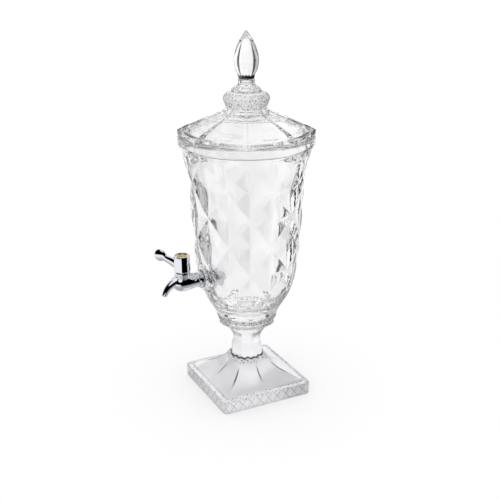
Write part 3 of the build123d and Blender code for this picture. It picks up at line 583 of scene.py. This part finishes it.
def lidSurface():
    # the profile goes from the hollow's crown down and out, round the locating ring, up the edge and the
    # slope, over the knop and in to its flat top. Side weight makes a row eight-sided; swell lifts the studs.
    angle = roundAngles(lid["columns"], lid["corner"])
    ring, ringDepth, ringWall = lid["ring"]
    bottom, top, radius = lid["bottom"], lid["bottom"] + lid["edge"], lid["radius"]
    slopeRadii = [radius * share for share in lid["slopeRadii"]]
    slopeHeights = [top + lid["slope"] * share for share in lid["slopeHeights"]]
    share = np.linspace(0, 1, lid["hollowRows"])
    hollow = np.stack([share * (ring - ringWall), bottom + lid["dome"] * (1 - share ** 2)], -1)
    shoulderIn, shoulderUp = lid["shoulder"]
    rim = roundedRun(
        [hollow[-1], (ring - ringWall, bottom - ringDepth), (ring, bottom - ringDepth), (ring, bottom),
         (radius, bottom), (radius, top), (radius - shoulderIn, top + shoulderUp)],
        lid["rimRounds"], lid["rimStep"])[1:]
    slope = easyCurve([tuple(rim[-1])] + list(zip(slopeRadii, slopeHeights)), lid["slopeRows"])[1:]
    sides = evenSides(angle, lid["sides"], lid["corner"])
    # a narrow raised bead runs up each arris of the slope
    wedge = turn / lid["sides"]
    fromArris = np.abs((angle - lid["corner"] + wedge / 2) % wedge - wedge / 2)
    arris = np.maximum(0, 1 - (fromArris / lid["arrisWidth"]) ** 2)
    onSlope = np.sin(np.linspace(0, math.pi, len(slope))) ** 0.5
    onSlope = np.r_[np.zeros(len(hollow) + len(rim)), onSlope][:, None]
    hollowWeight = np.clip((hollow[:, 1] - bottom) / lid["hollowSides"], 0, 1)
    rimWeight = np.clip((rim[:, 0] - ring) / lid["rimSides"], 0, 1)
    sideWeight = np.r_[hollowWeight, rimWeight, np.ones(len(slope))][:, None]
    # knop: a flattened ball with rows of round studs, each row shifted by half a stud
    steps, knopRadius, knopHeight = lid["studRows"] + 1, lid["knopRadius"], lid["knopHeight"]
    lift = np.linspace(0, 1, lid["rowsPerStud"] * steps + 1)[:, None]
    ball = easyCurve([(share * knopRadius, height * knopHeight)
                      for share, height in zip(lid["knopRadii"], lid["knopHeights"])], lid["finePoints"])
    ballRadius = np.interp(lift * knopHeight, ball[:, 1], ball[:, 0]) - lid["studHeight"]
    ballHeight = slopeHeights[-1] + knopHeight * lift
    rowFloat = lift * steps
    pitch = turn / lid["studs"]
    rowsPerPitch = pitch * knopRadius * steps / knopHeight
    swell = np.zeros((len(lift), lid["columns"]))
    for row in range(1, steps):
        shifted = (angle - lid["corner"]) / pitch + 0.5 * (row % 2)
        across = (shifted - np.floor(shifted) - 0.5) * 2 / lid["studSize"]
        upward = (rowFloat - row) * 2 / rowsPerPitch / lid["studSize"]
        swell = np.maximum(swell, np.sqrt(np.maximum(0, 1 - across ** 2 - upward ** 2)))
    knop = ballRadius + lid["studHeight"] * swell
    lines = np.concatenate([hollow, rim, slope])
    radii = lines[:, :1] * (1 + sideWeight * (sides - 1))
    rise = lid["arrisRise"] * arris * onSlope
    topDisc = np.linspace(1, 0, lid["topRows"] + 1)[1:, None]
    radii = np.concatenate([radii, knop, knop[-1:] * topDisc])
    flat = np.concatenate([ballHeight, ballHeight[-1:] * np.ones_like(topDisc)]) * np.ones_like(angle)
    heights = np.concatenate([lines[:, 1:] + rise, flat])
    return ringPoints(radii, angle, heights)


lidPiece = gridPiece("lid_glass", [lidSurface()], "cover", lidGlass)
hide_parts("lid")
print("lid made,", len(lidPiece.data.polygons), "faces")

# Finial: eight-sided disc with a sloping top, ringed neck and six-sided drop
finial = {
    "columns": 192, "bottom": 374.07,
    "discSides": 8, "discRadius": 18.6, "discEdge": 2.6, "discSlope": 4.4, "discRound": (10.0, 1.5),
    "discCorner": math.radians(40.8), "neckHeight": 7.0, "neckEnd": (9.05, 0.5),
    # radii of the neck's rings and their heights above the disc's slope
    "neckRings": [(11.2, 0.0), (10.6, 1.4), (9.2, 2.6), (9.2, 3.4), (9.9, 4.0)],
    "neckRounds": [0.5, 0.6, 0.8, 0.4, 0.5, 0.4, 0.3, 0.3], "neckStep": 1.0,
    "dropSides": 6, "dropRows": 56, "tipRows": 3,
    "dropRadius": 14.6, "dropHeight": 53.0, "dropCorner": math.radians(32.8),
    "arrisCut": 0.02, "sideSwell": 0.25,
    "dropHeights": [0.0, 0.06, 0.18, 0.39, 0.60, 0.72, 0.84, 0.94, 1.0],
    "dropRadii": [0.62, 0.67, 0.86, 1.0, 0.86, 0.71, 0.48, 0.24, 0.10],
}


def finialSurface():
    # the profile goes from the middle underneath out to the disc, up its slope and neck and over the drop
    angle = roundAngles(finial["columns"], finial["dropCorner"])
    base = finial["bottom"]
    edgeTop = base + finial["discEdge"]
    slopeTop = edgeTop + finial["discSlope"]
    neckTop = slopeTop + finial["neckHeight"]
    neckRadius = finial["neckRings"][-1][0]
    endRadius, endRise = finial["neckEnd"]
    radius = finial["discRadius"]
    disc = roundedRun(
        [(0, base), (radius, base), (radius, edgeTop)]
        + [(wide, slopeTop + height) for wide, height in finial["neckRings"]]
        + [(neckRadius, neckTop - endRise), (endRadius, neckTop)],
        finial["neckRounds"], finial["neckStep"])
    drop = easyCurve(
        [(finial["dropRadius"] * share, neckTop + finial["dropHeight"] * height)
         for share, height in zip(finial["dropRadii"], finial["dropHeights"])], finial["dropRows"])[1:]
    # the disc is eight-sided outside its round neck
    discSides = evenSides(angle, finial["discSides"], finial["discCorner"])
    roundWithin, roundSoft = finial["discRound"]
    discWeight = np.clip((disc[:, :1] - roundWithin) / roundSoft, 0, 1)
    discRadii = disc[:, :1] * (1 + discWeight * (discSides - 1))
    dropSides = evenSides(
        angle, finial["dropSides"], finial["dropCorner"], finial["arrisCut"], finial["sideSwell"])
    dropRadii = drop[:, :1] * dropSides
    tip = dropRadii[-1:] * np.linspace(1, 0, finial["tipRows"] + 1)[1:, None]
    radii = np.concatenate([discRadii, dropRadii, tip])
    tipHeights = np.full((finial["tipRows"], 1), drop[-1, 1])
    heights = np.concatenate([disc[:, 1:], drop[:, 1:], tipHeights])
    return ringPoints(radii, angle, heights)


finialPiece = gridPiece("finial_glass", [finialSurface()], "cover", finialGlass)
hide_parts("finial")
print("finial made,", len(finialPiece.data.polygons), "faces")

# Foot: square slab with cut edges, stepped margin, flare and eight-sided stem
foot = {
    "columns": 320, "side": 118.0, "edge": 15.6, "corner": 5.0, "margin": 5.5, "step": 1.4,
    "stemTop": 81.1, "stemSides": 8, "discRadius": 23.5, "discHeight": 6.03,
    "discLift": 0.3, "discRounds": [0.4, 0.6], "discStep": 2.5, "underRows": 8, "flareRows": 96,
    "cuts": 10, "cutDepth": 0.9, "cutRows": 15, "cutMargin": 0.5, "plainShare": 0.96,
    # insets from the slab's side, then widths and heights of the step at the margin
    "underInset": 0.6, "topInsets": (0.5, 2.0),
    "stepRows": [(0.6, 0.0), (0.15, 0.2), (0.0, 0.6), (-0.15, 1.1), (-0.7, 1.4)],
    "beads": 16, "beadHeight": 43.5, "beadHalf": 3.2, "beadRise": 1.4,
    "flareHeights": [0.0, 0.10, 0.20, 0.345, 0.462], "flareRadii": [1.0, 0.79, 0.61, 0.47, 0.375],
    "stemHeights": [0.574, 0.735, 0.886, 1.0], "stemRadii": [0.85, 0.745, 0.79, 0.98],
}


def roundedSquare(square, half, corner):
    # a square with quarter-circle corners, along the columns of the plain square
    inner = half - corner
    scaled = square * half
    held = np.clip(scaled, -inner, inner)
    over = scaled - held
    length = np.linalg.norm(over, axis=1, keepdims=True)
    both = (np.abs(over) > 1e-9).all(axis=1, keepdims=True)
    return np.where(both, held + over / np.maximum(length, 1e-9) * corner, scaled)


def footSurface():
    # the columns are spread evenly along the square's outline, and each row mixes the square with a circle
    # or with the eight-sided stem. The slab's sides carry a row of pressed pyramids.
    count = foot["columns"]
    quarter = count // 4
    along = (np.arange(count) % quarter) / quarter * 2 - 1
    sideTurn = (np.arange(count) // quarter) * turn / 4
    cosine, sine = np.cos(sideTurn), np.sin(sideTurn)
    square = np.stack([along * cosine + sine, along * sine - cosine], -1)
    circle = square / np.linalg.norm(square, axis=1)[:, None]
    angle = np.arctan2(circle[:, 0], -circle[:, 1])
    eight = circle * evenSides(angle, foot["stemSides"], 0.0)[:, None]
    half, edge, corner = foot["side"] / 2, foot["edge"], foot["corner"]
    under = roundedSquare(square, half - foot["underInset"], corner)
    rows = [(under * share, 0.0) for share in np.linspace(0, 1, foot["underRows"])]
    cutPhase = (along + 1) / 2 * foot["cuts"] % 1 * 2 - 1
    cutColumn = np.abs(along) <= foot["plainShare"]
    normal = np.stack([sine, -cosine], -1)
    outline = roundedSquare(square, half, corner)
    for lift in np.linspace(0, 1, foot["cutRows"]):
        pyramid = np.maximum(0, 1 - np.abs(cutPhase) - np.abs(lift * 2 - 1))
        inset = foot["cutDepth"] * (1 - pyramid) * cutColumn * min(1, 8 * min(lift, 1 - lift))
        height = foot["cutMargin"] + (edge - 2 * foot["cutMargin"]) * lift
        rows.append((outline - normal * inset[:, None], height))
    margin = half - foot["margin"]
    steps = [(half - inset, 0.0) for inset in foot["topInsets"]]
    steps += [(margin + wider, height) for wider, height in foot["stepRows"]]
    rows += [(roundedSquare(square, size, corner - 1), edge + height) for size, height in steps]
    flareBottom = edge + foot["step"]
    rise = foot["stemTop"] - flareBottom
    sizes = [margin * size for size in foot["flareRadii"]]
    sizes += [foot["discRadius"] * size for size in foot["stemRadii"]]
    levels = [flareBottom + rise * height for height in foot["flareHeights"] + foot["stemHeights"]]
    flare = easyCurve(list(zip(sizes, levels)), foot["flareRows"])[1:]
    for size, height in flare:
        squareness = np.clip(1 - (height - flareBottom) / (rise * foot["flareHeights"][-1]), 0, 1)
        shape = square * squareness + eight * (1 - squareness)
        level = (height - foot["beadHeight"]) / foot["beadHalf"]
        swell = foot["beadRise"] * np.abs(np.cos(angle * foot["beads"] / 2)) * max(0.0, 1 - level ** 2)
        rows.append((shape * (size + swell[:, None]), height))
    discTop = foot["stemTop"] + foot["discHeight"]
    disc = roundedRun(
        [(flare[-1][0], foot["stemTop"]), (foot["discRadius"], foot["stemTop"] + foot["discLift"]),
         (foot["discRadius"], discTop), (0, discTop)], foot["discRounds"], foot["discStep"])[1:]
    rows += [(circle * size, height) for size, height in disc]
    plan = np.array([row for row, height in rows])
    tall = np.array([height for row, height in rows])[:, None] * np.ones(count)
    return np.concatenate([plan, tall[..., None]], -1) * mm


footPiece = gridPiece("foot_glass", [footSurface()], "vessel", footGlass)
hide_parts("foot")
print("foot made,", len(footPiece.data.polygons), "faces")

# Tap body: threaded shank, barrel and belly, neck under the hood and the curved spout
tap = {
    "columns": 64, "axis": 155.6, "tower": 84.604,
    "inlet": (58.0, 4.0), "shank": (35.0, 8.0), "shankChamfer": 0.6,
    "thread": 0.45, "threadPitch": 1.8, "threadRows": 9, "threadEnd": 0.3,
    "barrelRows": 28, "barrelNose": 0.6,
    "barrel": [(64.7, 8.4), (66.0, 8.7), (69.0, 8.9), (74.0, 9.8), (79.0, 10.6), (84.6, 10.75), (90.0, 9.9),
               (94.0, 7.4), (96.4, 3.0)],
    "belly": [(0.0, 150.0), (6.0, 151.0), (8.4, 154.0), (9.0, 158.0), (9.3, 163.0), (9.6, 166.0),
              (9.8, 168.2), (9.6, 169.6), (9.2, 170.1)],
    "bellyRows": 48, "neck": (7.4, 177.0), "neckRounds": [0.3, 0.4], "neckStep": 2.0,
    "spoutStart": (85.6, 159.2), "spoutBend": 23.5, "spoutTurn": math.radians(74.0),
    "spoutRadii": (7.2, 3.4), "spoutRows": 26,
    "spoutBore": 2.4, "spoutBoreDepth": 0.35, "spoutBoreRows": 8,
}


def tapBodyShells():
    # shank and barrel are one profile turned about the tap hole's axis, belly and neck one about the tower.
    # The thread is a helix: the radius falls and rises with the height over the pitch plus the turn.
    end, shankRadius = tap["shank"]
    inletDepth, inletRadius = tap["inlet"]
    face = tap["barrel"][0][0]
    threadStep = tap["threadPitch"] / tap["threadRows"]
    chamfer = tap["shankChamfer"]
    threaded = np.arange(end + chamfer, face - tap["threadEnd"], threadStep)
    run = [(0, inletDepth), (inletRadius, inletDepth), (inletRadius, end), (shankRadius - chamfer, end)]
    run += [(shankRadius, height) for height in threaded]
    barrel = easyCurve([(radius, height) for height, radius in tap["barrel"]], tap["barrelRows"])
    run = np.concatenate([run, barrel, [(0.0, tap["barrel"][-1][0] + tap["barrelNose"])]])
    shank = turned(run, (0, 0, tap["axis"]), tapOut, tapSide, tap["columns"])
    angle = roundAngles(tap["columns"])
    cut = np.abs((run[:, 1:] / tap["threadPitch"] + angle / turn) % 1 * 2 - 1) * tap["thread"]
    onThread = (np.abs(run[:, :1] - shankRadius) < 0.01) & (run[:, 1:] < face)
    centre = np.stack([0 * run[:, 1], -run[:, 1], 0 * run[:, 1] + tap["axis"]], -1)[:, None, :] * mm
    shrink = np.where(onThread, 1 - cut / shankRadius, 1.0)[..., None]
    shank = centre + (shank - centre) * shrink
    neckRadius, neckTop = tap["neck"]
    belly = easyCurve(tap["belly"], tap["bellyRows"])
    neck = roundedRun([belly[-1], (neckRadius, belly[-1][1]), (neckRadius, neckTop), (0, neckTop)],
                      tap["neckRounds"], tap["neckStep"])
    tower = np.concatenate([belly, neck[1:]])
    tower = turned(tower, (0, -tap["tower"], 0), (0, 0, 1), tapSide, tap["columns"])
    return [shank, tower, spoutShell()]


def spoutShell():
    # circles that shrink along an arc which starts level and bends down, then back up inside as the bore
    share = np.linspace(0, 1, tap["spoutRows"])
    back = np.linspace(1, 1 - tap["spoutBoreDepth"], tap["spoutBoreRows"])
    along = np.r_[0, share, 1, back, back[-1]]
    root, tip = tap["spoutRadii"]
    bore = tap["spoutBore"]
    radii = np.r_[0, root + (tip - root) * share, (tip + bore) / 2, np.full(len(back), bore), 0]
    bend = tap["spoutTurn"] * along
    start, height = tap["spoutStart"]
    centres = np.stack([0 * bend, -start - tap["spoutBend"] * np.sin(bend),
                        height - tap["spoutBend"] * (1 - np.cos(bend))], -1)
    directions = np.stack([0 * bend, -np.cos(bend), -np.sin(bend)], -1)
    return alongPath(centres, directions, tapSide, radii, radii, tap["columns"])


tapPiece = gridPiece("tap_body_chrome", tapBodyShells(), "vessel", chrome)
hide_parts("tap_body")

# Lever: hood over the neck, with an arm that widens into a round domed paddle
lever = {
    "columns": 64, "azimuth": math.radians(-45.0),
    "hoodBottom": 170.4, "hoodTop": 189.6, "baseRadius": 9.93, "topRadius": 9.28, "rim": 1.3,
    "webBottom": 180.8, "webTop": 184.2, "bore": 7.5,
    "hoodRounds": [0.3, 0.3, 0.5, 0.6, 0.4, 0.3], "hoodStep": 1.5,
    "root": 8.4, "rows": 56, "reach": 27.7, "paddle": 7.6, "paddleThick": 2.8, "height": 186.6,
    "armReach": [8.4, 11.5, 15.0, 19.2, 23.8, 28.5],
    "armMiddle": [177.8, 179.6, 181.2, 183.0, 185.0, 186.6],
    "armTall": [7.2, 6.4, 5.7, 5.1, 5.0, 4.8],
    "armWide": [2.9, 2.6, 2.4, 2.3, 2.3, 2.2],
    "endFade": 3.0, "smoothing": [0.25, 0.5, 0.25], "smoothPasses": 3,
}


def leverShells():
    # the hood is turned about the tower. The arm is a run of ellipses; towards its end its top and bottom
    # swell out to the paddle's circle, and its thickness to the paddle's dome.
    radius, bore, inner = lever["topRadius"], lever["bore"], lever["topRadius"] - lever["rim"]
    low, high = lever["hoodBottom"], lever["hoodTop"]
    run = roundedRun(
        [(0, lever["webBottom"]), (bore, lever["webBottom"]), (bore, low), (lever["baseRadius"], low),
         (radius, high), (inner, high), (inner, lever["webTop"]), (0, lever["webTop"])],
        lever["hoodRounds"], lever["hoodStep"])
    hood = turned(run, (0, -tap["tower"], 0), (0, 0, 1), tapSide, lever["columns"])
    out = np.array([math.sin(lever["azimuth"]), -math.cos(lever["azimuth"]), 0])
    side = (math.cos(lever["azimuth"]), math.sin(lever["azimuth"]), 0)
    centre, paddle = lever["reach"], lever["paddle"]
    end = centre + paddle
    share = np.sin(np.linspace(0, math.pi / 2, lever["rows"]))
    reach = lever["root"] + (end - lever["root"]) * share
    circle = np.sqrt(1 - np.clip((reach - centre) / paddle, -1, 1) ** 2)
    middle, tall, wide = (np.interp(reach, lever["armReach"], lever[part])
                          for part in ("armMiddle", "armTall", "armWide"))
    fade = np.clip((end - reach) / lever["endFade"], 0, 1) ** 0.5 * (reach <= centre)
    tall, wide = tall * fade, wide * fade
    top = np.maximum(middle + tall, lever["height"] + paddle * circle)
    bottom = np.minimum(middle - tall, lever["height"] - paddle * circle)
    outside = reach < centre - paddle
    top, bottom = np.where(outside, middle + tall, top), np.where(outside, middle - tall, bottom)
    thick = np.maximum(wide, lever["paddleThick"] * circle)
    for line in [top, bottom, thick] * lever["smoothPasses"]:
        line[1:-1] = np.convolve(line, lever["smoothing"], "valid")
    middle, halves = (top + bottom) / 2, (top - bottom) / 2
    centres = np.array([0, -tap["tower"], 0]) + reach[:, None] * out + middle[:, None] * [0, 0, 1]
    halves[0] = thick[0] = halves[-1] = thick[-1] = 0
    arm = alongPath(centres, np.tile(out, (len(reach), 1)), side, thick, halves, lever["columns"])
    return [hood, arm]


leverPiece = gridPiece("tap_lever_chrome", leverShells(), "lever", chrome)
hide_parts("tap_lever")
print("tap made,", len(tapPiece.data.polygons) + len(leverPiece.data.polygons), "faces")

# Camera at the photograph's place. The picture is 500 by 500.
camera = {
    "azimuth": 63.3, "distance": 1.0, "height": 0.5572, "down": 20.586,
    "focalPixels": 883.2, "axisPixel": 246.4, "picture": 500.0,
}
aim = math.radians(camera["azimuth"])
cameraData = bpy.data.cameras.new("photo_camera")
cameraData.sensor_width = 36.0
cameraData.lens = camera["focalPixels"] / camera["picture"] * cameraData.sensor_width
cameraObject = bpy.data.objects.new("photo_camera", cameraData)
yaw = math.atan((camera["picture"] / 2 - camera["axisPixel"]) / camera["focalPixels"])
distance = camera["distance"]
cameraObject.location = (distance * math.sin(aim), -distance * math.cos(aim), camera["height"])
cameraObject.rotation_euler = (math.radians(90 - camera["down"]), 0, aim - yaw)
scene.collection.objects.link(cameraObject)
scene.camera = cameraObject

# Floor and light
# Tones run from 0 to 1. Pairs are where a soft step starts and ends, floor reaches in metres.
studio = {
    "white": 1.0, "plain": 0.75,              # what the camera sees, and the even light on the object
    "window": (18.0, 48.0), "windowTone": 1.0, "sideTone": 0.85,      # degrees either side of the view line
    "slant": 0.35, "card": (28.0, 38.0), "cardSoft": 2.0, "cardShade": 0.9,
    "poles": 13, "poleStart": (26.0, 34.0), "poleWidth": (0.66, 0.80), "poleTurn": 20.0,
    "mottleScale": 5.0, "mottle": (0.50, 0.72), "mottleShade": 0.12,
    "farEdge": (0.55, 0.80), "farShade": 0.95, "farRise": (0.30, 0.55),
    "darkMiddle": 116.0, "darkEdge": (0.26, 0.32),
    "rearEdge": (-0.15, 0.15), "overhead": (0.80, 0.92),
    "panelTurn": -8.0, "panelRise": 45.0, "panelEdge": (26.0, 20.0),
    "floorSize": 6.0, "floorDrop": 0.0005, "floorTone": 0.92, "floorGlow": 0.35,
    # painted light: extra glow of the floor under the foot, and how far it reaches, for rays bent by glass
    "paintedPoolGlow": 0.4, "paintedPoolReach": (0.075, 0.12),
    # painted shadow: how grey the floor is near the object, and how far it reaches, for rays thrown back by
    # metal
    "floorFade": (0.12, 0.4), "floorEnd": (0.72, 0.95), "paintedShadowGrey": 0.50, "paintedShadowReach": (0.18, 0.55),
}
throughHeading = math.atan2(math.cos(aim), -math.sin(aim))    # the way the camera looks, seen from above


def besideView(side, inner, outer):
    # 1 within the inner angle of the view line and 0 past the outer one, in degrees
    return side.ramp(math.cos(math.radians(outer)), math.cos(math.radians(inner)))


def studioTones(board, where):
    # through glass: a bright window behind the object, paler walls beside it and thin dark poles between.
    # on metal: a white room with a dark side and a dark rear. Each comes back as a tone from 0 to 1.
    east, north = board.parts(where)[:2]
    fromView = board.work("ARCTAN2", north, east) - throughHeading
    side = board.work("COSINE", fromView)
    window = besideView(side, *studio["window"])
    beside = 1.0 - besideView(side, *studio["poleStart"])
    inner, outer = studio["card"]
    soft = studio["cardSoft"]
    card = besideView(side, outer - soft, outer + soft) - besideView(side, inner - soft, inner + soft)
    card = card * studio["cardShade"]
    wave = board.work("COSINE", fromView * studio["poles"] + math.radians(studio["poleTurn"]))
    poles = wave.ramp(*studio["poleWidth"]) * beside
    toward = board.add("VectorMath", {"operation": "NORMALIZE"}, {0: where})
    mottle = board.noise(toward, studio["mottleScale"]).ramp(*studio["mottle"]) * studio["mottleShade"]
    plain = studio["sideTone"] + window * (studio["windowTone"] - studio["sideTone"])
    plain = plain * (1.0 - board.work("SINE", fromView) * studio["slant"])
    rise = board.parts(toward)[2]
    far = (0.0 - side).ramp(*studio["farEdge"]) * (1.0 - rise.ramp(*studio["farRise"])) * studio["farShade"]
    through = (plain - mottle) * (1.0 - poles) * (1.0 - far) * (1.0 - card)
    fromDark = board.work("COSINE", fromView + math.radians(studio["darkMiddle"]))
    right = fromDark.ramp(*studio["darkEdge"])
    behind = (0.0 - side).ramp(*studio["rearEdge"])
    return through, right, behind


def rayKinds(board):
    # rays bent by glass, rays thrown back by metal or a glass skin, and these and the camera's together
    direct, glossy, bent = (board.add("LightPath", output="Is " + kind + " Ray")
                            for kind in ("Camera", "Glossy", "Transmission"))
    thrown = glossy * (1.0 - bent)
    seen = board.work("MAXIMUM", board.work("MAXIMUM", direct, bent), thrown)
    return bent, thrown, seen


def makeFloor():
    # a square far wider than the picture, just under the foot
    size, low = studio["floorSize"], -studio["floorDrop"]
    corners = [(x * size, y * size, low) for x, y in ((-1, -1), (1, -1), (1, 1), (-1, 1))]
    floor = meshObject("floor", corners, [(0, 1, 2, 3)])
    board = Board(bpy.data.materials.new("pale_floor"))
    bent, thrown, seen = rayKinds(board)
    place = board.place()
    bentTone, right, behind = studioTones(board, place)
    distance = board.add("VectorMath", {"operation": "LENGTH"}, {0: place}, 1)
    # straight under the object the poles and the dark side fade out, so that the foot stands on even white
    fade = distance.ramp(*studio["floorFade"])
    bentTone = studio["windowTone"] + (bentTone - studio["windowTone"]) * fade
    dark = board.work("MAXIMUM", right * fade, behind * distance.ramp(*studio["floorEnd"]))
    # painted shadow: for rays thrown back by metal the floor is greyer near the object, where its shadow
    # falls
    paintedShadow = (1.0 - distance.ramp(*studio["paintedShadowReach"])) * (1.0 - studio["paintedShadowGrey"])
    glossTone = (1.0 - paintedShadow) * (1.0 - dark)
    # painted light: near the middle the floor glows brighter for rays bent by glass, a pool of light under
    # the foot
    under = 1.0 - distance.ramp(*studio["paintedPoolReach"])
    tone = 1.0 - bent * (1.0 - bentTone) - thrown * (1.0 - glossTone)
    matte = board.add("BsdfDiffuse", {}, {"Color": board.grey(tone * studio["floorTone"])})
    level = bent * under * studio["paintedPoolGlow"] + studio["floorGlow"]
    glow = board.add("Emission", {}, {"Color": board.grey(tone * seen * level)})
    both = board.add("AddShader", {}, {0: matte, 1: glow})
    board.add("OutputMaterial", {}, {"Surface": both})
    floor.data.materials.append(board.owner)


def makeWorld():
    # the same studio for the rays that miss the floor
    world = bpy.data.worlds.new("studio")
    scene.world = world
    board = Board(world)
    ray = board.add("TexCoord", output=0)
    height = board.parts(ray)[2]
    bentTone, behind = studioTones(board, ray)[::2]
    # a white panel hangs above the camera, a little to its right
    around, rise = aim + math.radians(studio["panelTurn"]), math.radians(studio["panelRise"])
    centre = (math.sin(around) * math.cos(rise), -math.cos(around) * math.cos(rise), math.sin(rise))
    toPanel = board.add("VectorMath", {"operation": "DOT_PRODUCT"}, {0: ray, 1: centre}, 1)
    panel = toPanel.ramp(*(math.cos(math.radians(part)) for part in studio["panelEdge"]))
    dark = behind * (1.0 - height.ramp(*studio["overhead"])) * (1.0 - panel)
    bent, thrown, seen = rayKinds(board)
    tone = 1.0 - bent * (1.0 - bentTone) - thrown * dark
    level = studio["plain"] + seen * (studio["white"] - studio["plain"])
    backdrop = board.add("Background", {}, {"Color": board.grey(tone * level)})
    board.add("OutputWorld", {}, {"Surface": backdrop})


makeFloor()
makeWorld()
scene.view_settings.view_transform = "Standard"
scene.cycles.max_bounces = scene.cycles.transmission_bounces = 24    # light crosses many walls of glass
scene.cycles.glossy_bounces = 16
print("floor, light and camera made")
